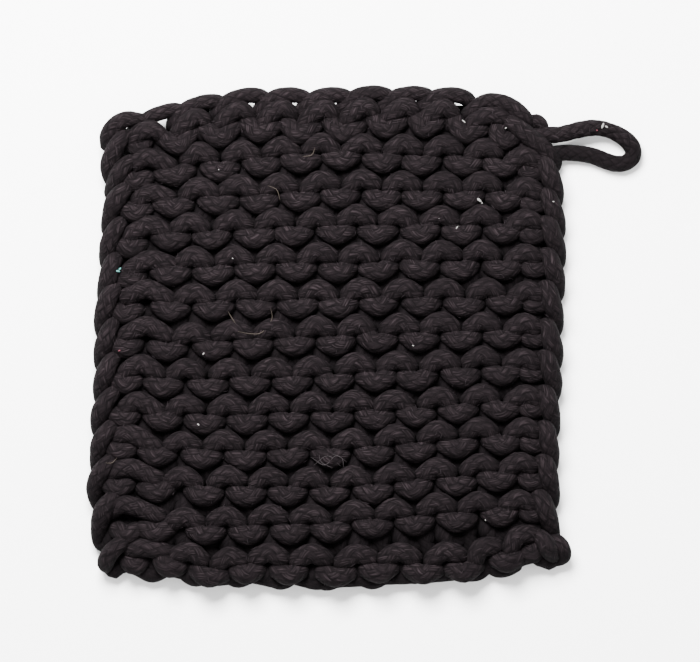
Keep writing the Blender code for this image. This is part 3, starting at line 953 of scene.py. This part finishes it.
    def ridge_line(self, ridge: int, rng: np.random.Generator) -> np.ndarray:
        """The cord of one ridge: its heads' course to the left, the turn, and its sinkers' course.

        Args:
            ridge: The ridge, 0 being the bound-off one.
            rng: Where the small differences between stitches come from.

        Returns:
            The points that the cord passes.
        """
        joint = 2 * (len(self.rows) - 1 - ridge)
        heads_course = self.course(
            self.bows(Bow.HEAD, joint, rng), self.bows(Bow.SINKER, joint - 1, rng)
        )
        sinkers = self.bows(Bow.SINKER, joint, rng)
        upper_heads = self.bows(Bow.HEAD, joint + 1, rng)
        sinkers_course = self.course(upper_heads, sinkers)
        parts = [
            heads_course[::-1][2:-2], self.turn_line(LEFT_TURNS[ridge], 1.0), sinkers_course,
        ]
        if ridge > 0:
            parts.append(self.turn_line(RIGHT_TURNS[ridge - 1], -1.0)[::-1])
        if ridge == len(self.rows) - 1:
            parts.insert(0, self.turn_line(RIGHT_TURNS[ridge], -1.0)[::-1])
        return np.concatenate(parts)

    def pieces(self, finish: bpy.types.Material) -> Iterator[tuple[bpy.types.Object, float]]:
        """Builds each ridge's cord.

        Args:
            finish: The cotton's material.

        Yields:
            Each piece and its cord's length.
        """
        for ridge in range(len(self.rows)):
            rng = np.random.default_rng(self.FIRST_SEED + ridge)
            line = smooth_line(self.ridge_line(ridge, rng), self.spacing)
            piece = self.cord.tube(f"ridge_{ridge + 1:02d}", line, self.sides, rng)
            yield dress(piece, finish, "mat"), line_length(line)


@dataclass(frozen=True)
class ShadedMiddle:
    """A thin layer in the middle of the mat, painted near black as shade, which hides the chinks that
    the tubes leave.

    Real strands are squashed together there. Its three tongues under the chain cover two
    openings and narrow a third.
    """

    low: float = 5.0
    high: float = 6.2

    OUTLINE = (
        (-88.0, 84.0), (-66.0, 87.5), (-56.0, 96.0), (-55.0, 103.2), (-51.0, 103.6),
        (-49.5, 96.0), (-30.0, 92.0), (13.0, 93.0), (15.5, 107.2), (20.0, 107.2), (22.0, 93.0),
        (49.5, 93.0), (50.5, 103.8), (57.5, 103.8), (59.0, 92.0), (66.0, 91.0), (84.0, 83.0),
        (93.0, 64.0), (93.0, -50.0), (90.5, -84.0), (70.0, -90.0), (28.0, -95.5), (-12.0, -97.5),
        (-50.0, -95.5), (-74.0, -90.0), (-92.0, -88.0), (-96.0, -50.0), (-93.0, 10.0),
    )

    def piece(self) -> bpy.types.Object:
        """Builds the layer as a closed slab."""
        count = len(self.OUTLINE)
        verts = np.array([(x, y, z) for z in (self.low, self.high) for x, y in self.OUTLINE])
        walls = [(count + k, count + (k + 1) % count, (k + 1) % count, k) for k in range(count)]
        lids = [tuple(range(count)), tuple(range(2 * count - 1, count - 1, -1))]
        # painted shade: near black, darker than the cotton's own grooves
        finish = PlainFinish("painted_shade_cotton", (0.0009, 0.0006, 0.0008), specular=0.0)
        return dress(add_piece("shaded_middle", verts, walls + lids), finish.material(), "mat")


@dataclass(frozen=True)
class SingleCord:
    """A part of the trivet that is one cord along one route."""

    cord: BraidedCord
    spacing: float = 0.9
    sides: int = 20

    NAME = ""
    NODE = "mat"
    SEED = 0

    def route(self) -> np.ndarray:
        """The points that the cord passes, and its thickness there."""
        raise NotImplementedError

    def lay(self, finish: bpy.types.Material) -> tuple[bpy.types.Object, np.ndarray]:
        """Builds the cord.

        Args:
            finish: The cotton's material.

        Returns:
            The piece and its cord's middle line.
        """
        line = smooth_line(self.route(), self.spacing)
        tube = self.cord.tube(self.NAME, line, self.sides, np.random.default_rng(self.SEED))
        return dress(tube, finish, self.NODE), line

    def piece(self, finish: bpy.types.Material) -> tuple[bpy.types.Object, float]:
        """Builds the cord, and gives the piece and its cord's length."""
        piece, line = self.lay(finish)
        return piece, line_length(line)


@dataclass(frozen=True)
class BoundOffChain(SingleCord):
    """The chain along the top edge: in each link a slanting lower strand and a long upper one.

    It starts in the knob at the top left corner. KNOB, FIRST_LINK and LINK list places and the
    cord's thickness there; LINK counts from the middle of a link's lower strand. LINKS gives
    each middle, and how far the lower strand reaches right, as a share of LINK's own reach.
    """

    NAME = "bound_off_chain"
    SEED = 7
    KNOB = (
        (-95.2, 86.2, 6.0, 1.0), (-94.9, 90.4, 9.6, 1.05), (-91.8, 94.6, 12.0, 1.05),
        (-87.6, 97.0, 12.9, 1.0), (-83.4, 97.2, 11.6, 0.9), (-80.4, 96.6, 7.6, 0.8),
        (-85.5, 91.5, 4.5, 0.9), (-88.0, 85.5, 6.0, 0.9),
    )
    FIRST_LINK = (
        (-84.9, 87.4, 9.6, 1.0), (-81.6, 91.2, 12.5, 1.1), (-76.6, 92.7, 12.9, 1.12),
        (-73.2, 90.8, 11.4, 1.0), (-72.4, 87.8, 7.0, 0.9), (-77.0, 90.0, 4.2, 0.8),
        (-82.5, 93.0, 4.0, 0.8), (-84.5, 95.0, 5.8, 0.8), (-81.5, 96.2, 8.4, 0.86),
        (-76.2, 98.8, 10.4, 0.92), (-72.0, 100.2, 11.0, 0.92), (-67.0, 101.4, 10.6, 0.9),
        (-63.0, 100.6, 8.0, 0.88), (-61.0, 98.0, 5.4, 0.85), (-61.5, 94.0, 4.4, 0.85),
    )
    LINKS = (
        (-56.5, 98.8, 1.0), (-38.3, 101.8, 1.2), (-20.0, 102.2, 1.1), (-2.1, 102.2, 1.0),
        (15.3, 103.0, 1.0), (32.7, 103.0, 0.9), (49.0, 102.4, 1.2),
    )
    REACHING = slice(3, 6)
    LINK = (
        (-10.2, -7.6, 6.6, 0.9), (-8.6, -5.6, 10.6, 1.08), (-5.0, -2.4, 12.8, 1.14),
        (-1.0, -0.4, 13.1, 1.12), (2.0, -2.0, 12.0, 1.0), (3.0, -4.8, 7.6, 0.9),
        (0.0, -2.5, 4.4, 0.8), (-6.0, -1.0, 4.0, 0.8), (-10.6, -2.4, 5.2, 0.85),
        (-10.6, -1.0, 8.2, 0.96), (-8.0, 1.8, 10.4, 0.98), (-4.0, 4.2, 11.4, 0.98),
        (0.6, 5.2, 11.8, 0.98), (5.0, 5.3, 11.4, 0.96), (9.0, 4.2, 9.6, 0.92),
        (11.0, 1.4, 6.6, 0.85), (10.0, -3.5, 4.4, 0.85),
    )
    LAST_LINK = (
        (58.2, 92.6, 7.0, 0.95), (60.6, 95.6, 11.4, 1.05), (64.6, 97.9, 12.9, 1.08),
        (68.6, 98.8, 13.0, 1.1), (73.0, 97.9, 11.8, 1.08), (75.8, 95.0, 8.4, 0.92),
        (70.0, 96.6, 4.4, 0.8), (62.5, 98.6, 4.0, 0.8), (58.3, 98.6, 5.6, 0.85),
        (59.4, 100.6, 8.8, 0.88), (62.8, 103.4, 10.8, 0.9), (67.5, 105.2, 11.8, 0.92),
        (73.5, 104.2, 12.2, 0.98), (78.6, 101.4, 12.2, 1.0), (82.6, 97.8, 11.0, 0.96),
        (84.6, 94.4, 7.6, 0.85), (82.4, 92.6, 5.4, 0.8), (84.6, 95.2, 7.6, 0.8),
        (87.6, 96.9, 9.4, 0.82), (90.2, 94.4, 8.2, 0.8), (88.6, 90.4, 5.6, 0.85),
        (84.0, 88.0, 5.0, 0.9),
    )

    def route(self) -> np.ndarray:
        """The points that the chain's cord passes, link after link."""
        links = np.array(self.LINKS)
        shape = np.array(self.LINK)
        slope = np.gradient(links[:, 1], links[:, 0])
        off = np.repeat(shape[None, :, 0], len(links), axis=0)
        off[:, self.REACHING] *= links[:, 2:]
        x = links[:, :1] + off
        y = links[:, 1:2] + shape[None, :, 1] + slope[:, None] * off
        z = np.repeat(shape[None, :, 2], len(links), axis=0)
        thick = np.repeat(shape[None, :, 3], len(links), axis=0)
        rest = np.stack([x, y, z, thick], axis=-1).reshape(-1, 4)
        return np.concatenate([self.KNOB, self.FIRST_LINK, rest, self.LAST_LINK])


@dataclass(frozen=True)
class CastOnEdge(SingleCord):
    """The strand that runs along under the last ridge, from corner to corner."""

    height: float = 5.0
    thickness: float = 0.95
    points: int = 60

    NAME = "cast_on_edge"
    SEED = 13
    ENDS = (-93.0, 84.0)
    WAVE_HEIGHT = 0.9
    WAVE_X = -76.0
    WAVE_LENGTH = 17.6

    OUTLINE = (
        (-99.4, -91.4), (-93.9, -96.5), (-89.5, -96.5), (-81.2, -93.9), (-74.8, -96.5),
        (-62.0, -99.0), (-53.5, -101.1), (-48.5, -101.8), (-34.5, -100.3), (-23.8, -102.4),
        (-17.4, -100.7), (-6.8, -103.5), (6.0, -102.4), (14.5, -101.6), (29.3, -100.9),
        (42.1, -100.3), (54.0, -99.0), (61.2, -99.9), (65.0, -98.2), (67.0, -95.2),
        (71.8, -94.8), (77.0, -95.2), (80.3, -93.5), (88.8, -91.4), (93.1, -94.3),
    )
    TAIL = (
        (89.0, -88.2, 4.6), (94.6, -89.6, 4.4), (98.4, -89.0, 5.6), (98.8, -86.4, 8.4),
        (97.0, -83.4, 9.6), (93.0, -81.0, 6.5),
    )

    def route(self) -> np.ndarray:
        """The outline, one radius in, then the tail that ends in the corner."""
        x = np.linspace(*self.ENDS, self.points)
        outline = np.array(self.OUTLINE)
        y = np.interp(x, outline[:, 0], outline[:, 1]) + self.cord.radius
        wave = np.cos((x - self.WAVE_X) / self.WAVE_LENGTH * FULL_TURN)
        z = self.height + self.WAVE_HEIGHT * wave
        places = np.concatenate([np.stack([x, y, z], axis=1), self.TAIL])
        return np.column_stack([places, np.full(len(places), self.thickness)])


@dataclass(frozen=True)
class HangingLoop(SingleCord):
    """The cord's end, led out of the top right corner and back under the side."""

    spacing: float = 0.42
    sides: int = 48
    thickness: float = 0.97
    path_step: int = 6

    NAME = "hanging_cord"
    NODE = "hanging_loop"
    SEED = 11
    RELIEF = 0.09
    ROUTE = (
        (84.0, 90.0, 8.0), (91.0, 90.8, 9.2), (97.8, 91.0, 9.4), (106.5, 93.2, 8.2),
        (113.0, 94.1, 7.2), (119.4, 92.9, 6.2), (125.4, 89.9, 5.2), (129.0, 85.9, 4.4),
        (129.1, 82.1, 3.9), (126.3, 79.5, 3.6), (122.2, 79.0, 3.6), (118.0, 80.1, 3.6),
        (112.0, 82.4, 3.6), (105.0, 83.5, 3.8), (98.5, 83.5, 4.6), (87.5, 81.2, 8.2),
    )

    def route(self) -> np.ndarray:
        """The loop's points, out of the corner and back."""
        return np.column_stack([self.ROUTE, np.full(len(self.ROUTE), self.thickness)])

    def piece(self, finish: bpy.types.Material) -> tuple[bpy.types.Object, float]:
        piece, line = self.lay(finish)
        length = line_length(line)
        path = [tuple(point) for point in (line[:: self.path_step, :3] * MM).tolist()]
        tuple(path[0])
        return piece, length


@dataclass(frozen=True)
class Lint:
    """Short loose fibres all over the cord, a few long pale hairs, and specks of coloured lint."""

    fibres: int = 900
    fibre_radius: float = 0.06
    hair_radius: float = 0.13
    reach: float = 1.1

    HAIRS = (
        ((-43.6, 14.9), (-42.1, 12.3), (-40.4, 9.8)),
        ((-25.5, 16.2), (-25.1, 11.5), (-29.3, 6.0), (-34.4, 5.5), (-39.5, 6.4)),
        ((-11.9, 80.8), (-8.1, 81.6), (-6.8, 84.6)),
        ((-26.8, 68.4), (-23.0, 66.7), (-21.7, 62.5)),
        ((-95.2, -49.3), (-92.6, -49.3), (-90.5, -47.2)),
    )
    TUFT = (
        ((-8.5, -46.8), (-2.6, -50.2), (2.1, -46.3), (6.8, -48.9)),
        ((-7.2, -50.2), (-1.3, -46.3), (4.2, -50.6)),
        ((-5.0, -45.6), (-4.0, -49.0), (0.6, -51.4)),
        ((0.4, -45.4), (4.6, -47.2), (5.4, -51.0)),
    )
    WHITE_SPECKS = (
        ((62.9, 62.5), 0.6), ((64.2, 61.2), 0.45), ((53.5, 50.6), 0.3), ((54.4, 51.2), 0.3),
        ((45.9, 54.4), 0.22), ((-47.6, 75.2), 0.32), ((-54.0, -3.0), 0.32), ((-56.1, -33.1), 0.36),
        ((34.9, 0.4), 0.3), ((65.5, -73.5), 0.24), ((56.5, 96.0), 0.3),
        ((116.0, 94.6), 0.5), ((117.6, 94.2), 0.4), ((94.4, 61.5), 0.28), ((-41.7, 37.4), 0.25),
        ((74.4, 93.1), 0.3),
    )
    TEAL_SPECKS = (((-90.5, 32.0), 0.45), ((-89.5, 32.9), 0.4))
    RED_SPECKS = (((113.5, 92.6), 0.3), ((-89.7, -1.7), 0.28))

    LOOSE = PlainFinish("loose_fibre", (0.018, 0.014, 0.016), 0.9, specular=0.05)
    HAIR_KINDS = (
        (PlainFinish("pale_hairs", (0.027, 0.021, 0.016)), HAIRS),
        (PlainFinish("tuft", (0.013, 0.010, 0.011)), TUFT),
    )
    SPECK_KINDS = (
        (PlainFinish("white_lint", (0.13, 0.125, 0.12)), WHITE_SPECKS),
        (PlainFinish("teal_lint", (0.035, 0.12, 0.11)), TEAL_SPECKS),
        (PlainFinish("red_lint", (0.06, 0.012, 0.018)), RED_SPECKS),
    )
    SEED = 21
    UPWARDS = 0.15
    LEAST_HEIGHT = 11.0
    NO_SKIN_HEIGHT = 8.0
    FIBRE_SIDES, HAIR_SIDES, SPECK_SIDES = 3, 5, 6
    FIBRE_POINTS, SPECK_POINTS = 4, 5
    FIBRE_LENGTHS = (1.0, 2.8)
    FIBRE_LIFTS = (0.1, 0.5)
    FIBRE_BEND = 0.5
    HAIR_LIFT = 0.25
    HAIR_SPACING = 1.2
    SPECK_SPREAD = (1.0, 1.0, 0.15)
    SPECK_REACH = 0.6
    POINT_ANGLE = 0.35

    def tube(self, line: np.ndarray, radius: float, sides: int) -> tuple[np.ndarray, list]:
        """A thin tube along a few points, pointed at both ends.

        Args:
            line: The points, shape (n, 3).
            radius: Its radius in the middle.
            sides: The points round a ring.

        Returns:
            The vertices and the faces.
        """
        angle = np.linspace(self.POINT_ANGLE, math.pi - self.POINT_ANGLE, len(line))
        swell = radius * np.sin(angle)[:, None, None]
        verts = (line[:, None] + rings_round(line, sides) * swell).reshape(-1, 3)
        lids = [tuple(range(sides))[::-1], tuple(range(len(verts) - sides, len(verts)))]
        return verts, [*map(tuple, wall_faces(len(line), sides).tolist()), *lids]

    def piece(
        self, name: str, tubes: Sequence[tuple[np.ndarray, list]], finish: PlainFinish
    ) -> bpy.types.Object:
        """Joins tubes in one piece."""
        verts, faces, start = [], [], 0
        for tube_verts, tube_faces in tubes:
            verts.append(tube_verts)
            faces += [tuple(start + corner for corner in face) for face in tube_faces]
            start += len(tube_verts)
        return dress(add_piece(name, np.concatenate(verts), faces), finish.material())

    def surface(self, skin: np.ndarray, place: Place) -> np.ndarray:
        """The highest point of the cord near a place seen from above."""
        near = skin[np.hypot(skin[:, 0] - place[0], skin[:, 1] - place[1]) < self.reach]
        return np.array([*place, near[:, 2].max() if len(near) else self.NO_SKIN_HEIGHT])

    def fibre(self, start: np.ndarray, outward: np.ndarray, rng: np.random.Generator) -> np.ndarray:
        """The line of one loose fibre, which bends as it lifts off the cord.

        Args:
            start: Its place on the cord.
            outward: The cord's outward direction there.
            rng: Where its direction, length, lift and bend come from.

        Returns:
            Its points.
        """
        along = np.cross(outward, rng.normal(size=3))
        along /= max(np.linalg.norm(along), SHORTEST)
        length, lift = rng.uniform(*self.FIBRE_LENGTHS), rng.uniform(*self.FIBRE_LIFTS)
        share = np.linspace(0.0, 1.0, self.FIBRE_POINTS)[:, None]
        bend = np.cross(outward, along) * rng.normal(0.0, self.FIBRE_BEND)
        line = start + along * length * share + bend * share**2 + outward * lift * share
        return line.astype(float)

    def hair(self, skin: np.ndarray, places: Sequence[Place]) -> np.ndarray:
        """The line of one long hair over the cords."""
        knots = np.array([self.surface(skin, place) for place in places])
        knots[:, 2] = np.maximum(knots[:, 2], knots[:, 2].mean()) + self.HAIR_LIFT
        return smooth_line(np.column_stack([knots, np.ones(len(knots))]), self.HAIR_SPACING)[:, :3]

    def speck(self, middle: np.ndarray, radius: float, rng: np.random.Generator) -> np.ndarray:
        """The short line of one speck, which lies almost flat."""
        reach = rng.normal(size=3) * self.SPECK_SPREAD * radius
        share = np.linspace(-1.0, 1.0, self.SPECK_POINTS)[:, None]
        return middle + share * (reach + (radius * self.SPECK_REACH, 0.0, 0.0))

    def build(self, pieces: Sequence[bpy.types.Object]) -> None:
        """Scatters the fibres over the pieces' upper sides, and sets the hairs and specks.

        Args:
            pieces: The cords.
        """
        blocks = {"co": [], "normal": []}
        for piece in pieces:
            for key, found in blocks.items():
                values = np.empty(3 * len(piece.data.vertices), dtype=np.float32)
                piece.data.vertices.foreach_get(key, values)
                found.append(values.reshape(-1, 3))
        skin, outward = np.concatenate(blocks["co"]) / MM, np.concatenate(blocks["normal"])
        rng = np.random.default_rng(self.SEED)
        upper = (outward[:, 2] > self.UPWARDS) & (skin[:, 2] > self.LEAST_HEIGHT)
        fibres = [
            self.tube(self.fibre(skin[k], outward[k], rng), self.fibre_radius, self.FIBRE_SIDES)
            for k in rng.choice(np.flatnonzero(upper), self.fibres)
        ]
        self.piece("loose_fibres", fibres, self.LOOSE)
        for finish, hairs in self.HAIR_KINDS:
            lines = [self.hair(skin, places) for places in hairs]
            tubes = [self.tube(line, self.hair_radius, self.HAIR_SIDES) for line in lines]
            self.piece(finish.name, tubes, finish)
        for finish, specks in self.SPECK_KINDS:
            tubes = [
                self.tube(self.speck(self.surface(skin, place), radius, rng), radius, self.SPECK_SIDES)
                for place, radius in specks
            ]
            self.piece(finish.name, tubes, finish)


@dataclass(frozen=True)
class Lamp:
    """A square soft lamp that faces the trivet: its place and side in millimetres, its power."""

    name: str
    place: Point
    size: float
    watts: float


@dataclass(frozen=True)
class Studio:
    """A pale floor, soft light from beyond the bound-off edge, and the photo's camera."""

    aim: Point = (8.1, 6.8, 12.0)
    distance: float = 1500.0
    elevation: float = 87.0
    view_width: float = 297.5
    sensor: float = 36.0
    floor_side: float = 6000.0
    sky_strength: float = 1.7
    clip_end: float = 20.0
    lamps: tuple[Lamp, ...] = (
        Lamp("key_lamp", (-150.0, 460.0, 760.0), 420.0, 75.0),
        Lamp("fill_lamp", (300.0, -500.0, 1300.0), 900.0, 2.0),
    )

    def floor(self) -> None:
        """A wide flat sheet at the height of the table."""
        corners = np.array([(-1.0, -1.0, 0.0), (1.0, -1.0, 0.0), (1.0, 1.0, 0.0), (-1.0, 1.0, 0.0)])
        piece = add_piece("studio_floor", corners * self.floor_side / 2.0, [(0, 1, 2, 3)])
        piece.data.materials.append(PlainFinish("studio_paper", (0.92, 0.92, 0.92)).material())

    def hang(self, lamp: Lamp) -> None:
        """Hangs one lamp."""
        data = bpy.data.lights.new(lamp.name, "AREA")
        data.shape, data.size, data.energy = "SQUARE", lamp.size * MM, lamp.watts
        piece = add_object(lamp.name, data)
        piece.location = np.array(lamp.place) * MM
        aim = np.array(self.aim) * MM - np.array(piece.location)
        piece.rotation_euler = direction_to_euler(aim)

    def sky(self) -> None:
        """Even white light from all round."""
        world = bpy.data.worlds.new("studio_sky")
        bpy.context.scene.world = world
        world.use_nodes = True
        background = world.node_tree.nodes["Background"]
        background.inputs["Color"].default_value = (1.0, 1.0, 1.0, 1.0)
        background.inputs["Strength"].default_value = self.sky_strength

    def camera(self) -> None:
        """The camera, almost straight above the face and a little towards the cast-on edge."""
        data = bpy.data.cameras.new("photo_camera")
        data.sensor_width = self.sensor
        data.lens = self.sensor * self.distance / self.view_width
        data.clip_end = self.clip_end
        camera = add_object("photo_camera", data)
        angle = math.radians(self.elevation)
        back = np.array([0.0, -math.cos(angle), math.sin(angle)])
        camera.location = (np.array(self.aim) + back * self.distance) * MM
        camera.rotation_euler = direction_to_euler(-back)
        bpy.context.scene.camera = camera

    def build(self) -> None:
        """Sets the floor, the lamps, the sky and the camera."""
        self.floor()
        for lamp in self.lamps:
            self.hang(lamp)
        self.sky()
        self.camera()


def direction_to_euler(direction: Sequence[float]) -> tuple[float, float, float]:
    """The rotation that points a lamp or a camera along a direction."""
    return Vector(direction).to_track_quat("-Z", "Y").to_euler()


def main() -> None:
    """Builds the trivet and the studio."""
    logging.basicConfig(level=logging.INFO, format="%(name)s: %(message)s")
    cord = BraidedCord()
    cotton = BraidedCotton().material(cord)
    loop_cord = replace(cord, relief=HangingLoop.RELIEF)
    makers = (BoundOffChain(cord), CastOnEdge(cord), HangingLoop(loop_cord))
    cords = [*Knitting(cord).pieces(cotton), *(maker.piece(cotton) for maker in makers)]
    for piece, length in cords:
        log.info("%s: %.0f mm of cord", piece.name, length)
    log.info("cord in all: %.2f m", sum(length for _, length in cords) * MM)
    Lint().build([piece for piece, _ in cords])
    ShadedMiddle().piece()
    Studio().build()


if __name__ == "__main__":
    main()
